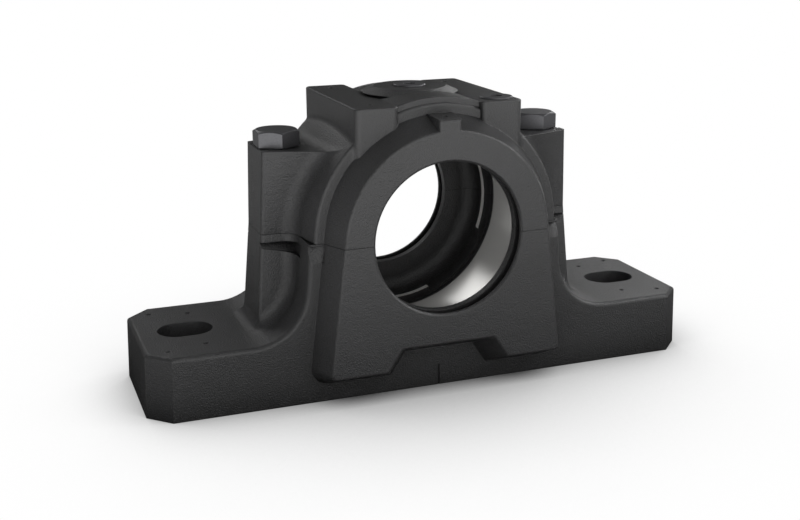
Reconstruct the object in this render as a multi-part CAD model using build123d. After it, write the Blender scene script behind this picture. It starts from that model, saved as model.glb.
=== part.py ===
from build123d import *
import math
import os

# Split plummer block housing with a 100 mm bearing seat: a cast iron base and cap,
# parted on the shaft centre line and held together by two cap bolts.
# Millimetres. Origin: middle of the underside. X along the feet, Y along the shaft, Z up.

# --- foot and body ----------------------------------------------------------------------
base_length = 255.0          # over the feet
base_width = 70.0            # foot, body and barrel, along the shaft
foot_height = 28.0
foot_corner_cut = 9.7        # 45 degree cut on each foot corner
foot_end_draft = 1.0         # how far each foot end leans in at its top
edge_radius = 2.0            # top edges of the foot and front edges of the body
centre_height = 70.0         # underside to shaft centre line, also the split plane
body_half_length = 57.5      # at the split
body_lean = 3.5              # how far the body ends lean out down to the foot
body_cove = 24.0             # radius from the body ends into the foot

slot_from_end = 22.5         # foot's end to the middle of its slot
slot_length = 24.0
slot_width = 18.0

mark_diameter = 2.6          # drill marks on the feet, pads and tabs
foot_marks = ((27.5, 21.0), (10.7, 25.3))  # in from the foot's end, and out from its middle
centre_mark_width = 0.9
centre_mark_depth = 0.6
centre_mark_height = 9.4

# --- bearing space ------------------------------------------------------------------------
seat_diameter = 100.0
seat_width = 44.0
rib_radius = 47.0            # shoulder rib beside the seat
rib_width = 3.2
rib_gap_side = 44.2          # shaft axis to the upright ends of the base ribs
rib_gap_angle = 67.5         # degrees below the split, where their lower parts begin
seat_relief_width = 4.6      # groove round each end of the seat, beside the rib
seat_relief_depth = 0.7
cavity_radius = 49.5         # as-cast grease space beside the ribs
cavity_corner_radius = 8.0
wall_thickness = 9.8         # each side wall, along the shaft
shaft_bore_radius = 33.0     # opening in each side wall
bore_edge_chamfer = 0.8
seal_groove_radius = 38.0
seal_groove_width = 4.2
seal_groove_setback = 2.0    # outer face of the side wall to the groove

# --- side walls -----------------------------------------------------------------------------
housing_width = 95.0         # over the two side walls
wall_radius = 45.7           # outer face of a side wall, round the bore
wall_lean = 7.0              # degrees that its sides lean out going down
wall_depth = 56.4            # from the split down to the lower edge of its outer face
wall_flare = 24.0            # degrees that it widens towards the body
wall_edge_radius = 1.2
wall_corner_radius = 2.0
notch_height = 10.0          # cut into the wall's lower edge
notch_half_top = 21.5
notch_half_bottom = 28.0
notch_corner_radius = 2.6
tab_width = 9.6              # small block on top of each side wall
tab_height = 50.3            # above the split
tab_flare = 5.0              # degrees that it widens towards the body

# --- cap ------------------------------------------------------------------------------------
barrel_radius = 58.3         # at the middle of the barrel
barrel_edge_radius = 55.4    # at its front and back faces
barrel_rim_round = 1.3
crown_band_radius = 58.0     # raised band between the pads, running to the front
crown_band_front = 34.0
crown_band_round = 0.5
pad_height = 55.2            # above the split
pad_inner = 18.5
pad_outer = 37.5
pad_half_width = 37.0
pad_corner_radius = 2.5      # upright corners
pad_cove = 3.5               # outer side into the barrel
pad_edge_radius = 0.8
pad_mark = (28.0, 27.0)
crown_boss_rise = 3.3        # above the pads
crown_boss_height = 2.4
crown_boss_foot_radius = 21.5
crown_boss_top_radius = 16.0

# --- bolt lugs and bolts ----------------------------------------------------------------------
bolt_spacing = 122.6
bolt_diameter = 12.0
bolt_hole_diameter = 13.5    # through the cap
bolt_head_width = 18.0       # across the flats
bolt_head_height = 7.5
washer_face_height = 0.4
bolt_tip_chamfer = 1.2
bolt_reach = 26.0            # how far the bolt goes into the base
tapped_hole_run_out = 4.0    # hole left below the bolt's end
thread_clearance = 0.1
lug_height = 36.1            # of the cap's lugs, above the split
spot_face_depth = 0.4
spot_face_diameter = 24.0
lug_half_length = 72.5       # outer face of the lugs at the split
lug_lean_down = 3.5          # how far that face leans out down to the foot
lug_lean_up = 1.5            # how far it leans in up to the bolt seat
lug_half_width = 12.0
lug_half_width_top = 13.0
lug_root_half_width_top = 28.0
lug_corner_radius = 1.5
lug_cove = 6.0               # lug into the base body and foot
cap_lug_cove = 8.0           # lug into the barrel

# --- pry pockets, for lifting the cap ---------------------------------------------------------
pocket_band = 3.5            # metal left between the split and the pockets
pry_outer_height = 2.0       # at the outer end of a lug
pry_inner_height = 5.5       # where the lug meets the body
pry_depth = 4.0              # into the lug, where it meets the body
corner_pry_width = 9.0       # pocket on each front and back corner of the body
corner_pry_height = 7.0
corner_pry_depth = 4.0
corner_pry_gap = 0.9

# --- locating pins and plugs --------------------------------------------------------------------
pin_diameter = 5.0
pin_length = 16.0
pin_clearance = 0.05
pin_chamfer = 0.5
pin_x = 54.8
pin_y = 12.8
grease_plug_x = 29.0
grease_plug_from_end = 9.0   # of the pad
plug_thread_diameter = 8.0
plug_thread_length = 6.5
plug_head_diameter = 14.4
plug_head_height = 0.8
plug_socket_width = 5.0      # across its flats
plug_socket_depth = 3.5
grease_duct_diameter = 4.0

# --- underside ------------------------------------------------------------------------------------
pocket_wall = 9.0            # metal left over and round the two hollows
pocket_half_width = 26.5
pocket_inner = 6.5
pocket_end_wall = 6.0        # between a hollow and its foot slot
pocket_corner_radius = 3.0

half_width = base_width / 2
slot_x = base_length / 2 - slot_from_end
lug_top = centre_height + lug_height
pad_top = centre_height + pad_height
pad_bed = pad_height - wall_radius / 2
crown_boss_top = pad_top + crown_boss_rise
wall_reach = (housing_width - base_width) / 2
wall_bottom = centre_height - wall_depth
bolt_x = bolt_spacing / 2
tapped_end = centre_height - bolt_reach - tapped_hole_run_out
grease_plug_y = grease_plug_from_end - pad_half_width
bolt_seat = lug_top - spot_face_depth
pin_places = ((-pin_x, -pin_y), (pin_x, pin_y))


def mirrored(points):
    """An outline's right half, given from bottom to top, with its left half added."""
    return points + [(-x, z) for x, z in reversed(points)]


def polygon(points):
    return make_face(Polyline(*points, close=True))


def along_shaft(face, y_from, y_to):
    """A face drawn in XZ as a solid between two places along Y."""
    return extrude(Plane.XZ.offset(-y_to) * face, amount=y_to - y_from)


def upright(diameter, z_from, z_to, x=0.0, y=0.0):
    """A vertical round bar between two heights."""
    return extrude(Plane.XY.offset(z_from) * Pos(x, y) * Circle(diameter / 2), amount=z_to - z_from)


def left_and_right(solid):
    return solid + mirror(solid, Plane.YZ)


def front_and_back(solid):
    return solid + mirror(solid, Plane.XZ)


def half_space(z_from, z_to):
    reach = 2 * base_length
    return Pos(0, 0, (z_from + z_to) / 2) * Box(reach, reach, z_to - z_from)


# --- outer form of the base ---------------------------------------------------------------------

def foot_and_body():
    half = base_length / 2
    body_foot = body_half_length + body_lean
    face = polygon(mirrored([
        (half, 0),
        (half - foot_end_draft, foot_height),
        (body_foot, foot_height),
        (body_half_length, centre_height),
    ]))
    face = fillet([v for v in face.vertices() if abs(abs(v.X) - body_foot) < 0.01], body_cove)
    block = along_shaft(face, -half_width, half_width)
    ends = [e for e in block.edges() if abs(e.center().X) > half - foot_end_draft
            and abs(e.center().Y) > half_width - 0.01]
    block = chamfer(ends, foot_corner_cut)
    rim = []
    for edge in block.edges():
        box = edge.bounding_box()
        on_side = abs(abs(edge.center().Y) - half_width) < 0.01
        on_end = abs(edge.center().X) > half - foot_corner_cut and box.size.Z < 0.01
        if 1 < box.min.Z < centre_height - 0.01 and (on_side or on_end):
            rim.append(edge)
    return fillet(rim, edge_radius)


def base_lug():
    """Bolt lug standing on the right-hand foot."""
    inner = body_half_length / 2
    sections = []
    for z, lean in ((foot_height, lug_lean_down), (centre_height, 0)):
        length = lug_half_length + lean - inner
        plan = Rectangle(length, 2 * lug_half_width + lean)
        sections.append(Plane.XY.offset(z) * Pos(inner + length / 2, 0) * plan)
    lug = loft(sections)
    corners = [e for e in lug.edges() if e.center().X > lug_half_length
               and e.bounding_box().size.Z > 1]
    return fillet(corners, lug_corner_radius)


# --- side walls, made whole and parted at the split ------------------------------------------------

def wall_outline():
    """Outer face of a side wall: round the bore above, leaning sides below."""
    arc = CenterArc((0, centre_height), wall_radius, wall_lean, 180 - 2 * wall_lean)
    top = arc @ 0
    foot_x = top.X + (top.Y - wall_bottom) * math.tan(math.radians(wall_lean))
    sides = Polyline((top.X, top.Y), (foot_x, wall_bottom), (-foot_x, wall_bottom), (-top.X, top.Y))
    face = make_face(arc + sides)
    return fillet([v for v in face.vertices() if v.Y < wall_bottom + 0.01], wall_corner_radius)


def wall_notch():
    """Opening under the front side wall, smaller towards the body."""
    shrink = wall_reach * math.tan(math.radians(wall_flare))
    slope = (notch_half_bottom - notch_half_top) / notch_height
    sections = []
    for y, inset, radius in ((-housing_width / 2, 0, notch_corner_radius), (-half_width, shrink, 1.0)):
        top = wall_bottom + notch_height - inset
        half_top = notch_half_top - inset
        face = polygon(mirrored([(half_top + slope * top, 0), (half_top, top)]))
        face = fillet([v for v in face.vertices() if v.Y > 1], radius)
        sections.append(Plane.XZ.offset(-y) * face)
    return loft(sections)


def flared(outline, angle):
    """An outline on a wall's outer face, widening by an angle towards the body."""
    outer_face = Plane.XZ.offset(housing_width / 2)
    return extrude(outer_face * outline, amount=wall_reach, dir=(0, 1, 0), taper=-angle)


def rim_rounded(block):
    rim = block.faces().sort_by(Axis.Y)[0].outer_wire().edges()
    return fillet(rim, wall_edge_radius)


def side_wall():
    """Front side wall of base and cap together, flaring out to meet the body."""
    wall = flared(wall_outline(), wall_flare) - wall_notch()
    tab = flared(Pos(0, centre_height + tab_height / 2) * Rectangle(tab_width, tab_height), tab_flare)
    return rim_rounded(wall) + rim_rounded(tab)


# --- outer form of the cap ----------------------------------------------------------------------------

def barrel():
    """Crowned upper half of the body."""
    front, back = (-half_width, barrel_edge_radius), (half_width, barrel_edge_radius)
    crown = ThreePointArc(front, (0, barrel_radius), back)
    rest = Polyline(back, (half_width, 0), (-half_width, 0), front)
    whole = Pos(0, 0, centre_height) * revolve(Plane.YZ * make_face(crown + rest), Axis.Y)
    half = whole & half_space(centre_height, pad_top + barrel_radius)
    rims = [e for e in half.edges()
            if abs(e.center().Y) > half_width - 0.01 and e.center().Z > centre_height + 1]
    return fillet(rims, barrel_rim_round)


def crown_band():
    """Raised band between the pads, from the middle of the crown to its front."""
    disc = Plane.XZ * Circle(crown_band_radius)
    band = Pos(0, 0, centre_height) * extrude(disc, amount=crown_band_front)
    band = fillet(band.edges().sort_by(Axis.Y)[0], crown_band_round)
    between_pads = Pos(0, 0, crown_boss_top) * Box(2 * pad_inner + 2, 2 * base_width, 2 * pad_bed)
    return band & between_pads


def crown_boss():
    """Low tapered boss in the middle of the crown, for the lubrication plug."""
    cone = Cone(crown_boss_foot_radius, crown_boss_top_radius, crown_boss_height)
    return Pos(0, 0, crown_boss_top - crown_boss_height / 2) * cone


def cap_lug():
    """Right-hand bolt lug of the cap, wider towards the barrel at its top."""
    inner = body_half_length / 2
    low = [(lug_half_length, lug_half_width), (inner, lug_half_width)]
    high = [(lug_half_length - lug_lean_up, lug_half_width_top), (inner, lug_root_half_width_top)]
    sections = []
    for z, corners in ((centre_height, low), (lug_top, high)):
        outline = corners + [(x, -y) for x, y in reversed(corners)]
        sections.append(Plane.XY.offset(z) * polygon(outline))
    lug = loft(sections)
    corners = [e for e in lug.edges() if e.center().X > bolt_x and e.bounding_box().size.Z > 1]
    return fillet(corners, lug_corner_radius)


def pad():
    """Right-hand flat pad on the cap."""
    low = pad_top - pad_bed
    plan = Pos((pad_inner + pad_outer) / 2, 0) * Rectangle(pad_outer - pad_inner, 2 * pad_half_width)
    block = extrude(Plane.XY.offset(low) * plan, amount=pad_bed)
    block = fillet(block.edges().filter_by(Axis.Z), pad_corner_radius)
    return fillet(block.faces().sort_by(Axis.Z)[-1].edges(), pad_edge_radius)


# --- machined features ---------------------------------------------------------------------------------

def bearing_space():
    """What is cut out round the shaft axis: bores, seal grooves, seat and grease spaces."""
    outer = housing_width / 2
    inner = outer - wall_thickness
    groove_out = outer - seal_groove_setback
    groove_in = groove_out - seal_groove_width
    seat_end = seat_width / 2
    rib_end = seat_end + rib_width
    relief_radius = seat_diameter / 2 + seat_relief_depth
    half = [
        (outer + 1, 0),
        (outer + 1, shaft_bore_radius + bore_edge_chamfer + 1),
        (outer - bore_edge_chamfer, shaft_bore_radius),
        (groove_out, shaft_bore_radius),
        (groove_out, seal_groove_radius),
        (groove_in, seal_groove_radius),
        (groove_in, shaft_bore_radius),
        (inner, shaft_bore_radius),
        (inner, cavity_radius),
        (rib_end, cavity_radius),
        (rib_end, rib_radius),
        (seat_end, rib_radius),
        (seat_end, relief_radius),
        (seat_end - seat_relief_width, relief_radius),
        (seat_end - seat_relief_width, seat_diameter / 2),
    ]
    face = polygon(half + [(-y, r) for y, r in reversed(half)])
    corners = [v for v in face.vertices() if abs(abs(v.X) - inner) < 0.01 and v.Y > cavity_radius - 0.01]
    face = fillet(corners, min(cavity_corner_radius, 0.9 * (inner - rib_end)))
    return Pos(0, 0, centre_height) * revolve(Plane.YZ * face, Axis.Y)


def drill_mark(x, y, z):
    """Shallow cone that starts a drill."""
    depth = mark_diameter / 2
    return Pos(x, y, z - depth / 2) * Cone(0, mark_diameter / 2, depth)


def foot_slot():
    length = slot_length - slot_width
    plan = Pos(slot_x, 0) * SlotCenterToCenter(length, slot_width)
    return extrude(Plane.XY.offset(-1) * plan, amount=foot_height + 2)


def underside_pocket():
    """Right-hand hollow under the base, following the bearing seat, bolt hole, body and foot."""
    pocket_outer = slot_x - slot_length / 2 - pocket_end_wall
    outline = Pos(0, -1) * Rectangle(pocket_outer, centre_height, align=Align.MIN)
    outline -= Pos(0, centre_height) * Circle(seat_diameter / 2 + pocket_wall)
    outline -= Rectangle(2 * pocket_inner, 2 * centre_height)
    body_end = body_half_length + body_lean / 2
    outside = Pos(body_end - pocket_wall, foot_height - pocket_wall) * Rectangle(
        base_length, centre_height, align=Align.MIN)
    corner = outside.vertices().group_by(Axis.X)[0].sort_by(Axis.Y)[0]
    outline -= fillet(corner, body_cove + pocket_wall)
    outline -= Pos(bolt_x, tapped_end - pocket_wall / 2) * Rectangle(
        bolt_diameter + pocket_wall, centre_height, align=(Align.CENTER, Align.MIN))
    pocket = along_shaft(outline, -pocket_half_width, pocket_half_width)
    return pocket.solids().sort_by(Axis.Z)[0]


def lug_pry_pocket():
    """Pocket in the front of the right-hand lug, flat below and sloping into the lug."""
    top = centre_height - pocket_band
    front = -lug_half_width - lug_cove - pry_depth
    sections = []
    for x, height in ((body_half_length, pry_inner_height), (lug_half_length + 2, pry_outer_height)):
        back = -lug_half_width + pry_depth * height / pry_inner_height
        corners = [(front, top), (back, top), (-lug_half_width, top - height), (front, top - height)]
        sections.append(Plane.YZ.offset(x) * polygon(corners))
    return loft(sections)


def corner_pry_pocket():
    """Pocket in the front right corner of the body, just below the split, deepest at the corner."""
    top = centre_height - corner_pry_gap
    sections = []
    for x, depth in ((body_half_length - corner_pry_width, 0.2), (body_half_length + 2, corner_pry_depth)):
        sections.append(Plane.YZ.offset(x) * polygon([
            (-half_width - 1, top),
            (-half_width + depth, top),
            (-half_width, top - corner_pry_height),
            (-half_width - 1, top - corner_pry_height),
        ]))
    return loft(sections)


def rib_gap_cutter():
    """Opening in the right-hand part of the front and back ribs, upright at its outer end."""
    angle = math.radians(rib_gap_angle)
    depth = 2 * cavity_radius
    opening = polygon([(0, 0), (rib_gap_side, 0), (rib_gap_side, -depth), (depth / math.tan(angle), -depth)])
    seat_end = seat_width / 2
    ring = Rot(90, 0, 0) * Cylinder(cavity_radius, 2 * (seat_end + rib_width))
    ring -= Rot(90, 0, 0) * Cylinder(cavity_radius, seat_width)
    span = along_shaft(opening, -seat_end - rib_width, seat_end + rib_width)
    return Pos(0, 0, centre_height) * (span & ring)


def centre_mark():
    """Groove in the front of the base, in line with the shaft."""
    depth = 2 * centre_mark_depth
    return Pos(0, -half_width, centre_mark_height / 2) * Box(centre_mark_width, depth, centre_mark_height)


def base():
    body = foot_and_body()
    for lug in (base_lug(), mirror(base_lug(), Plane.YZ)):
        joined = body + lug
        roots = [e for e in new_edges(body, lug, combined=joined) if e.center().Z < centre_height - 0.01]
        body = fillet(roots, lug_cove)
    body += front_and_back(side_wall()) & half_space(0, centre_height)
    body -= bearing_space()
    body -= left_and_right(rib_gap_cutter())
    body -= left_and_right(foot_slot())
    body -= left_and_right(underside_pocket())
    body -= front_and_back(left_and_right(lug_pry_pocket()))
    body -= front_and_back(left_and_right(corner_pry_pocket()))
    body -= front_and_back(centre_mark())
    body -= left_and_right(upright(bolt_diameter + thread_clearance, tapped_end, centre_height + 1, bolt_x))
    for from_end, y in foot_marks:
        body -= front_and_back(left_and_right(drill_mark(base_length / 2 - from_end, y, foot_height)))
    for x, y in pin_places:
        body -= upright(pin_diameter, centre_height - pin_length / 2, centre_height + 1, x, y)
    return body


def plug_hole(x, y, top):
    """Tapped hole for a plug, with a duct from it down to the bearing space."""
    hole = upright(plug_thread_diameter, top - plug_thread_length, top + 1, x, y)
    return hole + upright(grease_duct_diameter, centre_height + rib_radius / 2, top, x, y)


def cap():
    body = barrel()
    for lug in (cap_lug(), mirror(cap_lug(), Plane.YZ)):
        joined = body + lug
        roots = [e for e in new_edges(body, lug, combined=joined) if e.center().Z > centre_height + 0.01]
        body = fillet(roots, cap_lug_cove)
    for block in (pad(), mirror(pad(), Plane.YZ)):
        joined = body + block
        outer_roots = [e for e in new_edges(body, block, combined=joined)
                       if abs(e.center().X) > pad_outer - 0.01 and e.center().Z > lug_top - 1]
        body = fillet(outer_roots, pad_cove)
    body += crown_band()
    body += front_and_back(side_wall()) & half_space(centre_height, pad_top)
    body += crown_boss()
    body -= bearing_space()
    bolt_hole = upright(bolt_hole_diameter, centre_height - 1, lug_top + 1, bolt_x)
    spot_face = upright(spot_face_diameter, bolt_seat, lug_top + 4, bolt_x)
    body -= left_and_right(bolt_hole + spot_face)
    pin_hole = pin_diameter + 2 * pin_clearance
    for x, y in pin_places:
        body -= upright(pin_hole, centre_height - 1, centre_height + pin_length / 2 + 1, x, y)
    body -= plug_hole(grease_plug_x, grease_plug_y, pad_top)
    body -= plug_hole(0, 0, crown_boss_top)
    x, y = pad_mark
    for side, end in ((-1, -1), (-1, 1), (1, 1)):
        body -= drill_mark(side * x, end * y, pad_top)
    tab_rise = (wall_reach + mark_diameter) / 2 * math.tan(math.radians(tab_flare))
    tab_mark = drill_mark(0, -half_width - wall_reach / 2, centre_height + tab_height + tab_rise)
    return body - front_and_back(tab_mark)


# --- fasteners ---------------------------------------------------------------------------------------------

def cap_bolt(x):
    """Hexagon head bolt with a washer face, standing in its cap hole."""
    corner = bolt_head_width / math.cos(math.radians(30)) / 2
    flat_top = bolt_head_width * 0.475
    drop = (corner - flat_top) * math.tan(math.radians(30))
    hexagon = Plane.XY.offset(washer_face_height) * RegularPolygon(corner, 6, rotation=30)
    head = extrude(hexagon, amount=bolt_head_height - washer_face_height)
    rounding = Polyline((0, 0), (corner, 0), (corner, bolt_head_height - drop), (flat_top, bolt_head_height),
                        (0, bolt_head_height), close=True)
    head = head & revolve(Plane.XZ * make_face(rounding), Axis.Z)
    head += upright(bolt_head_width * 0.95, 0, washer_face_height)
    shank = upright(bolt_diameter, centre_height - bolt_reach, bolt_seat)
    tip = chamfer(shank.edges().group_by(Axis.Z)[0], bolt_tip_chamfer)
    return Pos(x, 0, 0) * (Pos(0, 0, bolt_seat) * head + tip)


def locating_pin(x, y):
    pin = upright(pin_diameter, centre_height - pin_length / 2, centre_height + pin_length / 2, x, y)
    return chamfer(pin.edges().filter_by(GeomType.CIRCLE), pin_chamfer)


def plug(x, y, top):
    """Flanged plug with a hexagon socket, screwed down onto a flat."""
    shape = upright(plug_head_diameter, top, top + plug_head_height, x, y)
    shape = chamfer(shape.edges().group_by(Axis.Z)[-1], plug_head_height / 2)
    shape += upright(plug_thread_diameter, top - plug_thread_length, top, x, y)
    socket = RegularPolygon(plug_socket_width / 2, 6, major_radius=False)
    socket = Plane.XY.offset(top + plug_head_height - plug_socket_depth) * Pos(x, y) * socket
    return shape - extrude(socket, amount=plug_socket_depth + 1)


def export(node, shape):
    export_step(shape, f"parts/{node}.step")


os.makedirs("parts", exist_ok=True)
export("base", base())
export("cap", cap())
export("cap_bolt_left", cap_bolt(-bolt_x))
export("cap_bolt_right", cap_bolt(bolt_x))
export("locating_pin_left", locating_pin(*pin_places[0]))
export("locating_pin_right", locating_pin(*pin_places[1]))
export("grease_plug", plug(grease_plug_x, grease_plug_y, pad_top))
export("lubrication_plug", plug(0, 0, crown_boss_top))
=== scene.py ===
# Split plummer block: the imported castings, bolts, pins and plugs, dressed and lit on a pale floor.
import math
import bmesh
import bpy
from mathutils import Matrix, Vector

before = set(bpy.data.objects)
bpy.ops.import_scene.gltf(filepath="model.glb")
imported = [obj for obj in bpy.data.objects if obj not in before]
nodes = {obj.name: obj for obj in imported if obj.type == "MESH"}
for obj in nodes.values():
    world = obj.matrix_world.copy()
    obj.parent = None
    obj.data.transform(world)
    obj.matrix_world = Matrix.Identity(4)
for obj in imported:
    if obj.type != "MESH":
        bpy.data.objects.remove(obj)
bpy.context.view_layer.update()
print("frame loaded:", ", ".join(sorted(nodes)))

camera = {
    "place": (-0.18365, -0.48138, 0.19972),  # m
    "aim": (-0.00494, 0.0, 0.04847),  # m
    "roll": -0.348,  # degrees about the line of sight
    "lens": 52.435,  # mm
    "sensor": 36.0,  # mm
    "clip": (0.01, 20.0),  # m
}


def makeCamera(place, aim, roll, lens, sensor, clip):
    data = bpy.data.cameras.new("camera")
    data.lens = lens
    data.sensor_width = sensor
    data.clip_start, data.clip_end = clip
    holder = bpy.data.objects.new("camera", data)
    bpy.context.collection.objects.link(holder)
    look = (Vector(aim) - Vector(place)).to_track_quat("-Z", "Y").to_matrix().to_4x4()
    tilt = Matrix.Rotation(math.radians(roll), 4, "Z")
    holder.matrix_world = Matrix.Translation(place) @ look @ tilt
    bpy.context.scene.camera = holder


makeCamera(**camera)
print("camera placed")


def addNode(tree, kind, links=None, **settings):
    # Settings are the node's own options; links gives each input a socket to join or a plain value.
    node = tree.nodes.new(kind)
    for option, value in settings.items():
        setattr(node, option, value)
    for socket, source in (links or {}).items():
        if isinstance(source, bpy.types.NodeSocket):
            tree.links.new(source, node.inputs[socket])
        else:
            node.inputs[socket].default_value = source
    return node


def linear(hexColour):
    # An sRGB hex colour as the linear values that the shaders work in.
    parts = [int(hexColour[i:i + 2], 16) / 255 for i in (1, 3, 5)]
    return tuple(c / 12.92 if c <= 0.04045 else ((c + 0.055) / 1.055) ** 2.4 for c in parts) + (1.0,)


def perMetre(millimetres):
    # A texture scale, in repeats per metre, from the real size of one repeat.
    return 1000.0 / millimetres


def newMaterial(name):
    material = bpy.data.materials.new(name)
    material.use_nodes = True
    material.node_tree.nodes.clear()
    return material, material.node_tree


floor = {
    "halfSize": 4.0,  # m
    "drop": 0.0001,  # m below the object's underside
    "reach": 0.22,  # m, how far off the object the painted shadow on the floor still reaches
    "shadowSpan": (0.16, 0.93),  # share of open sky at which the floor turns black, and white
    # Strength of the painted light that the floor gives off: close to the object, where it is dimmed as
    # painted shade, in front of it and behind it, and what is added to the right, for matt surfaces and for
    # gloss.
    "mattGlow": {"near": 0.15, "front": 1.9, "rear": 1.25, "right": 0.0},
    "glossGlow": {"near": 0.02, "front": 2.3, "rear": 0.22, "right": 1.3},
    "glowStart": (0.11, 0.42),  # m from the middle, where near ends and where the rest is full
    "frontHeading": (-0.35, -0.94, 0),
    "frontSpan": (0.1, 0.95),  # cosine of the angle off that heading, where rear ends and front is full
    "rightHeading": (0.5, 0.87, 0),
    "rightSpan": (0.82, 0.97),
}


def studioPaper():
    # Studio paper that gives off light instead of taking it. For the eye it is white with a painted shadow,
    # darker where the object hides more of the sky from it; for matt and gloss rays it glows as painted
    # light.
    material, tree = newMaterial("studioPaper")
    path = addNode(tree, "ShaderNodeLightPath")
    # Painted shadow: for the eye the floor's whiteness follows how much open sky each point sees.
    sky = addNode(tree, "ShaderNodeAmbientOcclusion", {"Distance": floor["reach"]}, samples=24)
    black, white = floor["shadowSpan"]
    paintedShadow = addNode(tree, "ShaderNodeMapRange", {
        "Value": sky.outputs["AO"], "From Min": black, "From Max": white})

    place = addNode(tree, "ShaderNodeTexCoord").outputs["Object"]
    distance = addNode(tree, "ShaderNodeVectorMath", {0: place}, operation="LENGTH")
    nearEnd, glowFull = floor["glowStart"]
    away = addNode(tree, "ShaderNodeMapRange", {
        "Value": distance.outputs["Value"], "From Min": nearEnd, "From Max": glowFull},
        interpolation_type="SMOOTHSTEP")
    heading = addNode(tree, "ShaderNodeVectorMath", {0: place}, operation="NORMALIZE").outputs[0]
    towardsFront = addNode(tree, "ShaderNodeVectorMath", {0: heading, 1: floor["frontHeading"]},
                           operation="DOT_PRODUCT")
    towardsRight = addNode(tree, "ShaderNodeVectorMath", {0: heading, 1: floor["rightHeading"]},
                           operation="DOT_PRODUCT")
    rightStart, rightFull = floor["rightSpan"]
    right = addNode(tree, "ShaderNodeMapRange", {
        "Value": towardsRight.outputs["Value"], "From Min": rightStart, "From Max": rightFull},
        interpolation_type="SMOOTHSTEP")

    # Painted light from the floor for matt and gloss rays, with painted shade close to the object.
    def paintedGlow(glow):
        rearEnd, frontFull = floor["frontSpan"]
        side = addNode(tree, "ShaderNodeMapRange", {
            "Value": towardsFront.outputs["Value"], "From Min": rearEnd, "From Max": frontFull,
            "To Min": glow["rear"], "To Max": glow["front"]}, interpolation_type="SMOOTHSTEP")
        side = addNode(tree, "ShaderNodeMath", {0: right.outputs[0], 1: glow["right"], 2: side.outputs[0]},
                       operation="MULTIPLY_ADD")
        return addNode(tree, "ShaderNodeMix", {0: away.outputs[0], "A": glow["near"], "B": side.outputs[0]},
                       data_type="FLOAT").outputs["Result"]

    glowing = addNode(tree, "ShaderNodeMix", {
        0: path.outputs["Is Glossy Ray"], "A": paintedGlow(floor["mattGlow"]),
        "B": paintedGlow(floor["glossGlow"])}, data_type="FLOAT")
    strength = addNode(tree, "ShaderNodeMix", {
        0: path.outputs["Is Camera Ray"], "A": glowing.outputs["Result"], "B": paintedShadow.outputs[0]},
        data_type="FLOAT")
    paper = addNode(tree, "ShaderNodeEmission", {"Strength": strength.outputs["Result"]})
    addNode(tree, "ShaderNodeOutputMaterial", {"Surface": paper.outputs[0]})
    material.cycles.emission_sampling = "NONE"  # so that matt and gloss each get their own light
    return material


def makeFloor():
    shape = bmesh.new()
    bmesh.ops.create_grid(shape, x_segments=1, y_segments=1, size=floor["halfSize"])
    bmesh.ops.translate(shape, verts=shape.verts, vec=(0, 0, -floor["drop"]))
    mesh = bpy.data.meshes.new("floor")
    shape.to_mesh(mesh)
    shape.free()
    plane = bpy.data.objects.new("floor", mesh)
    bpy.context.collection.objects.link(plane)
    mesh.materials.append(studioPaper())


makeFloor()
print("floor laid")

room = {
    "background": 1.0,  # white, for the eye only
    # Strength of the wall in front of the object, the wall behind it and the ceiling, for matt surfaces and
    # for gloss.
    "matt": {"front": 1.0, "rear": 0.80, "ceiling": 0.30},
    "gloss": {"front": 1.35, "rear": 0.05, "ceiling": 0.07},
    "wallSpan": (-0.50, -0.90),  # Y of a direction, where the rear wall ends and where the front one is full
    "ceilingSpan": (0.45, 0.95),  # Z of a direction, where the walls end and where the ceiling is full
}


def makeRoom():
    world = bpy.data.worlds.new("studio")
    bpy.context.scene.world = world
    world.use_nodes = True
    world.cycles.sampling_method = "NONE"  # so that matt and gloss each get their own light
    tree = world.node_tree
    tree.nodes.clear()
    path = addNode(tree, "ShaderNodeLightPath")
    direction = addNode(tree, "ShaderNodeTexCoord").outputs["Generated"]
    parts = addNode(tree, "ShaderNodeSeparateXYZ", {0: direction})
    wallTop, ceilingFull = room["ceilingSpan"]
    overhead = addNode(tree, "ShaderNodeMapRange", {
        "Value": parts.outputs["Z"], "From Min": wallTop, "From Max": ceilingFull},
        interpolation_type="SMOOTHSTEP")

    def thrown(light):
        rearEnd, frontFull = room["wallSpan"]
        wall = addNode(tree, "ShaderNodeMapRange", {
            "Value": parts.outputs["Y"], "From Min": rearEnd, "From Max": frontFull,
            "To Min": light["rear"], "To Max": light["front"]}, interpolation_type="SMOOTHSTEP")
        return addNode(tree, "ShaderNodeMix", {0: overhead.outputs[0], "A": wall.outputs[0],
                                               "B": light["ceiling"]}, data_type="FLOAT").outputs["Result"]

    glowing = addNode(tree, "ShaderNodeMix", {
        0: path.outputs["Is Glossy Ray"], "A": thrown(room["matt"]), "B": thrown(room["gloss"])},
        data_type="FLOAT")
    strength = addNode(tree, "ShaderNodeMix", {
        0: path.outputs["Is Camera Ray"], "A": glowing.outputs["Result"], "B": room["background"]},
        data_type="FLOAT")
    backdrop = addNode(tree, "ShaderNodeBackground", {
        "Color": linear("#ffffff"), "Strength": strength.outputs["Result"]})
    addNode(tree, "ShaderNodeOutputWorld", {"Surface": backdrop.outputs[0]})


makeRoom()
print("room built")

lampStand = {
    "middle": (0, 0, 0.06),  # m, what every lamp points at
    "distance": 1.2,  # m
}
lamps = {
    # azimuth from +Y towards +X and elevation in degrees, size in m, power in W
    "keyLamp": {"azimuth": 105, "elevation": 30, "size": (0.60, 0.46), "power": 7.0},
    "rearLamp": {"azimuth": 46, "elevation": 25, "size": (0.40, 0.40), "power": 1.0},
    "footLamp": {"azimuth": 38, "elevation": 21, "size": (0.18, 0.14), "power": 0.30},
    "seatLamp": {"azimuth": -14, "elevation": 30, "size": (0.50, 0.36), "power": 1.0},
    "edgeStrip": {"azimuth": 165, "elevation": 72, "size": (0.80, 0.10), "power": 0.9},
}


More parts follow.
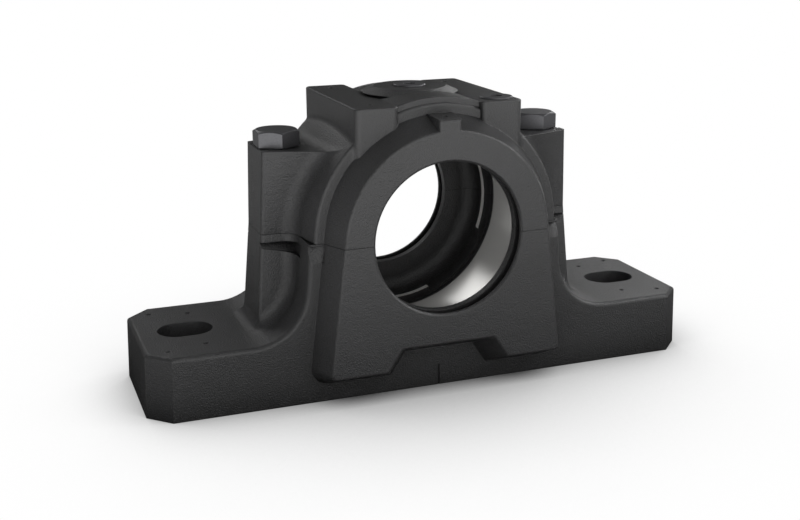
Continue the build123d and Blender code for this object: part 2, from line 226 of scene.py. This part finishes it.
def makeLamp(name, azimuth, elevation, size, power):
    data = bpy.data.lights.new(name, "AREA")
    data.shape = "RECTANGLE"
    data.size, data.size_y = size
    data.energy = power
    lamp = bpy.data.objects.new(name, data)
    bpy.context.collection.objects.link(lamp)
    turn, rise = math.radians(azimuth), math.radians(elevation)
    away = Vector((math.sin(turn) * math.cos(rise), math.cos(turn) * math.cos(rise), math.sin(rise)))
    place = Vector(lampStand["middle"]) + away * lampStand["distance"]
    aim = (-away).to_track_quat("-Z", "Y").to_matrix().to_4x4()
    lamp.matrix_world = Matrix.Translation(place) @ aim
    lamp.visible_camera = False


for name, settings in lamps.items():
    makeLamp(name, **settings)
print("lamps placed:", ", ".join(lamps))

housing = {
    "axisHeight": 0.070,  # m, shaft axis and split plane above the floor
    # Radius of the turned faces and their span along the shaft from the middle, in m. Both end just off the
    # mesh, so that no face lies on a limit.
    "seat": {"radius": 0.0503, "inner": -0.001, "outer": 0.0175},
    "ribLand": {"radius": 0.0473, "inner": 0.0221, "outer": 0.0251},
    "paintDark": "#303030",
    "paintLight": "#3b3b3c",
    "mottle": 32.0,  # mm, size of the lighter and darker clouds in the paint
    "paintRoughness": 0.31,
    "sandGrain": 0.7,  # mm
    "castLump": 2.6,  # mm
    "lumpShare": 0.35,  # height of the lumps against that of the grain
    "relief": 0.00030,  # m, height of the grain
    "edgeRound": 0.0006,  # m
    "creaseReach": 0.016,  # m, how far the painted shade spreads from a corner
    "creaseSpan": (0.35, 0.95),  # share of open sky with full painted shade, and with none
    "creaseShade": 0.30,  # what full painted shade leaves of the paint's colour
    "turned": "#f0efec",
    "turnedMetallic": 0.5,  # the fine tool marks scatter part of the light, as a matt surface does
    "turnedRoughness": 0.22,
    "landRoughness": 0.48,
    "toolPitch": 1.58,  # mm, coarser than the real feed so that it shows
    "toolDepth": 0.00001,  # m
    "toolStrength": 0.25,
    "joint": "#141414",
    "jointHalfWidth": 0.00012,  # m
    "jointWander": 0.0002,  # m, how far the line strays up and down
    "jointWave": 4.0,  # mm, over what length it does
}


def paintedCastIron():
    # Grey iron, sand cast and dipped in satin black paint, with the seat and the lands of the ribs turned
    # bright. The grain of the sand shows through the thin paint, the corners carry painted shade, the edges
    # shine softly, and the seat mirrors the room.
    material, tree = newMaterial("paintedCastIron")
    place = addNode(tree, "ShaderNodeTexCoord").outputs["Object"]
    fromAxis = addNode(tree, "ShaderNodeVectorMath", {0: place, 1: (0, 0, housing["axisHeight"])},
                       operation="SUBTRACT").outputs[0]
    across = addNode(tree, "ShaderNodeVectorMath", {0: fromAxis, 1: (1, 0, 1)}, operation="MULTIPLY")
    radius = addNode(tree, "ShaderNodeVectorMath", {0: across.outputs[0]}, operation="LENGTH")
    parts = addNode(tree, "ShaderNodeSeparateXYZ", {0: fromAxis})
    alongShaft = addNode(tree, "ShaderNodeMath", {0: parts.outputs["Y"]}, operation="ABSOLUTE")

    def turnedFace(face):
        # A mask that is 1 on the face and 0 elsewhere.
        mask = addNode(tree, "ShaderNodeMath", {0: radius.outputs["Value"], 1: face["radius"]},
                       operation="LESS_THAN")
        for limit, side in ((face["inner"], "GREATER_THAN"), (face["outer"], "LESS_THAN")):
            span = addNode(tree, "ShaderNodeMath", {0: alongShaft.outputs[0], 1: limit}, operation=side)
            mask = addNode(tree, "ShaderNodeMath", {0: mask.outputs[0], 1: span.outputs[0]},
                           operation="MULTIPLY")
        return mask.outputs[0]

    seat = turnedFace(housing["seat"])
    land = turnedFace(housing["ribLand"])
    turned = addNode(tree, "ShaderNodeMath", {0: seat, 1: land}, operation="MAXIMUM").outputs[0]
    painted = addNode(tree, "ShaderNodeMath", {0: 1.0, 1: turned}, operation="SUBTRACT").outputs[0]

    # The joint of base and cap: a fine line round the split, slightly uneven as the castings' edges are.
    wave = addNode(tree, "ShaderNodeTexNoise", {
        "Vector": place, "Scale": perMetre(housing["jointWave"]), "Detail": 2.0})
    strayed = addNode(tree, "ShaderNodeMath", {
        0: wave.outputs[0], 1: housing["jointWander"], 2: parts.outputs["Z"]}, operation="MULTIPLY_ADD")
    offJoint = addNode(tree, "ShaderNodeMath", {0: strayed.outputs[0], 1: housing["jointWander"] / 2},
                       operation="SUBTRACT")
    offJoint = addNode(tree, "ShaderNodeMath", {0: offJoint.outputs[0]}, operation="ABSOLUTE")
    nearJoint = addNode(tree, "ShaderNodeMath", {0: offJoint.outputs[0], 1: housing["jointHalfWidth"]},
                        operation="LESS_THAN")
    joint = addNode(tree, "ShaderNodeMath", {0: nearJoint.outputs[0], 1: painted}, operation="MULTIPLY")

    # Relief of the casting, and the tool's rings on the turned faces.
    grain = addNode(tree, "ShaderNodeTexNoise", {
        "Vector": place, "Scale": perMetre(housing["sandGrain"]), "Detail": 3.0, "Roughness": 0.6})
    lumps = addNode(tree, "ShaderNodeTexNoise", {
        "Vector": place, "Scale": perMetre(housing["castLump"]), "Detail": 2.0})
    relief = addNode(tree, "ShaderNodeMath", {
        0: lumps.outputs[0], 1: housing["lumpShare"], 2: grain.outputs[0]}, operation="MULTIPLY_ADD")
    softEdge = addNode(tree, "ShaderNodeBevel", {"Radius": housing["edgeRound"]}, samples=6)
    castBump = addNode(tree, "ShaderNodeBump", {
        "Strength": 1.0, "Distance": housing["relief"], "Height": relief.outputs[0],
        "Normal": softEdge.outputs[0]})
    ringScale = math.tau / 20 * perMetre(housing["toolPitch"])  # the bands repeat 20 times in tau
    rings = addNode(tree, "ShaderNodeTexWave", {"Vector": place, "Scale": ringScale, "Distortion": 0.0},
                    bands_direction="Y")
    toolBump = addNode(tree, "ShaderNodeBump", {
        "Strength": housing["toolStrength"], "Distance": housing["toolDepth"], "Height": rings.outputs[1]})
    normal = addNode(tree, "ShaderNodeMix", {0: turned, "A": castBump.outputs[0], "B": toolBump.outputs[0]},
                     data_type="VECTOR")

    # Colour: clouded paint, painted shade in its corners, bare iron on the turned faces and the line of the
    # joint.
    mottle = addNode(tree, "ShaderNodeTexNoise", {
        "Vector": place, "Scale": perMetre(housing["mottle"]), "Detail": 4.0})
    paint = addNode(tree, "ShaderNodeMix", {
        0: mottle.outputs[0], "A": linear(housing["paintDark"]), "B": linear(housing["paintLight"])},
        data_type="RGBA")
    # Painted shade in the corners: the paint's colour is darkened where little open sky reaches within a
    # short distance.
    crease = addNode(tree, "ShaderNodeAmbientOcclusion", {"Distance": housing["creaseReach"]}, samples=6)
    fullShade, noShade = housing["creaseSpan"]
    paintedShade = addNode(tree, "ShaderNodeMapRange", {
        "Value": crease.outputs["AO"], "From Min": fullShade, "From Max": noShade,
        "To Min": housing["creaseShade"], "To Max": 1.0})
    paint = addNode(tree, "ShaderNodeMix", {0: 1.0, "A": paint.outputs["Result"], "B": paintedShade.outputs[0]},
                    data_type="RGBA", blend_type="MULTIPLY")
    colour = addNode(tree, "ShaderNodeMix", {
        0: turned, "A": paint.outputs["Result"], "B": linear(housing["turned"])}, data_type="RGBA")
    colour = addNode(tree, "ShaderNodeMix", {
        0: joint.outputs[0], "A": colour.outputs["Result"], "B": linear(housing["joint"])},
        data_type="RGBA")

    roughness = addNode(tree, "ShaderNodeMix", {
        0: turned, "A": housing["paintRoughness"], "B": housing["turnedRoughness"]}, data_type="FLOAT")
    roughness = addNode(tree, "ShaderNodeMix", {
        0: land, "A": roughness.outputs["Result"], "B": housing["landRoughness"]}, data_type="FLOAT")
    metallic = addNode(tree, "ShaderNodeMath", {0: turned, 1: housing["turnedMetallic"]},
                       operation="MULTIPLY")
    shader = addNode(tree, "ShaderNodeBsdfPrincipled", {
        "Base Color": colour.outputs["Result"], "Metallic": metallic.outputs[0],
        "Roughness": roughness.outputs["Result"], "Normal": normal.outputs["Result"]})
    addNode(tree, "ShaderNodeOutputMaterial", {"Surface": shader.outputs[0]})
    return material


fastener = {
    "dark": "#4e4e50",
    "light": "#68686b",
    "metallic": 0.6,
    "roughness": 0.36,
    "grain": 0.5,  # mm
    "grainDepth": 0.00003,  # m
    "grainStrength": 0.3,
    "edgeRound": 0.0004,  # m
}


def phosphatedSteel():
    # Cold forged steel, phosphated and oiled: dark grey, satin and finely grained, with softly shining edges.
    material, tree = newMaterial("phosphatedSteel")
    place = addNode(tree, "ShaderNodeTexCoord").outputs["Object"]
    grain = addNode(tree, "ShaderNodeTexNoise", {
        "Vector": place, "Scale": perMetre(fastener["grain"]), "Detail": 3.0})
    colour = addNode(tree, "ShaderNodeMix", {
        0: grain.outputs[0], "A": linear(fastener["dark"]), "B": linear(fastener["light"])},
        data_type="RGBA")
    softEdge = addNode(tree, "ShaderNodeBevel", {"Radius": fastener["edgeRound"]}, samples=6)
    bump = addNode(tree, "ShaderNodeBump", {
        "Strength": fastener["grainStrength"], "Distance": fastener["grainDepth"],
        "Height": grain.outputs[0], "Normal": softEdge.outputs[0]})
    shader = addNode(tree, "ShaderNodeBsdfPrincipled", {
        "Base Color": colour.outputs["Result"], "Metallic": fastener["metallic"],
        "Roughness": fastener["roughness"], "Normal": bump.outputs[0]})
    addNode(tree, "ShaderNodeOutputMaterial", {"Surface": shader.outputs[0]})
    return material


pin = {
    "colour": "#b9b9ba",
    "metallic": 1.0,
    "roughness": (0.2, 0.35),
    "grain": 0.3,  # mm
}


def groundSteel():
    # Hardened and ground pin steel: bright, with a slightly uneven shine.
    material, tree = newMaterial("groundSteel")
    place = addNode(tree, "ShaderNodeTexCoord").outputs["Object"]
    grain = addNode(tree, "ShaderNodeTexNoise", {
        "Vector": place, "Scale": perMetre(pin["grain"]), "Detail": 2.0})
    smoothest, roughest = pin["roughness"]
    roughness = addNode(tree, "ShaderNodeMapRange", {
        "Value": grain.outputs[0], "To Min": smoothest, "To Max": roughest})
    shader = addNode(tree, "ShaderNodeBsdfPrincipled", {
        "Base Color": linear(pin["colour"]), "Metallic": pin["metallic"],
        "Roughness": roughness.outputs[0]})
    addNode(tree, "ShaderNodeOutputMaterial", {"Surface": shader.outputs[0]})
    return material


finishes = (
    (paintedCastIron(), ("base", "cap")),
    (phosphatedSteel(), ("cap_bolt_left", "cap_bolt_right", "grease_plug", "lubrication_plug")),
    (groundSteel(), ("locating_pin_left", "locating_pin_right")),
)
for material, pieces in finishes:
    for name in pieces:
        for slot in nodes[name].material_slots:
            slot.material = material
    print(material.name, "given to", ", ".join(pieces))
bpy.context.scene.view_settings.view_transform = "Standard"
